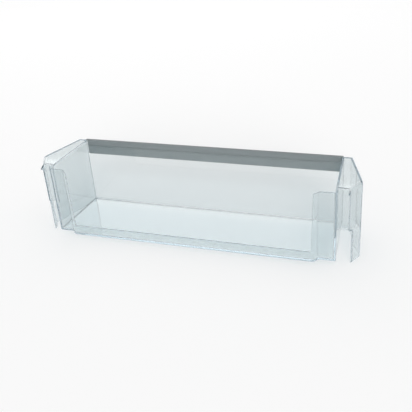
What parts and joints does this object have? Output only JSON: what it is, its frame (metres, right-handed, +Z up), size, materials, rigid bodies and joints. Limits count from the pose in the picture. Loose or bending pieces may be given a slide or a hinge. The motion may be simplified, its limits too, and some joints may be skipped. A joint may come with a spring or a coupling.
{
  "type": "fridge door shelf",
  "caption": "Clear moulded refrigerator door shelf: open-backed tray with flared hollow ends that hook over door bosses, and a grey trim strip on the front edge.",
  "frame": {"origin": "middle of the footprint, on the plane of the wing bottoms that the shelf stands on", "axes": "+X along the shelf, +Y towards the decorative front with the trim strip, +Z up; the open rear that faces the door is at -Y"},
  "size_m": [0.48, 0.1162, 0.1157],
  "materials": {
    "clear_plastic": "polished clear moulded polystyrene with a faint cool tint",
    "trim_grey": "satin mid-grey plastic strip"
  },
  "bodies": {
    "root": {"clear_tray": "clear_plastic", "trim_strip": "trim_grey"}
  },
  "joints": []
}
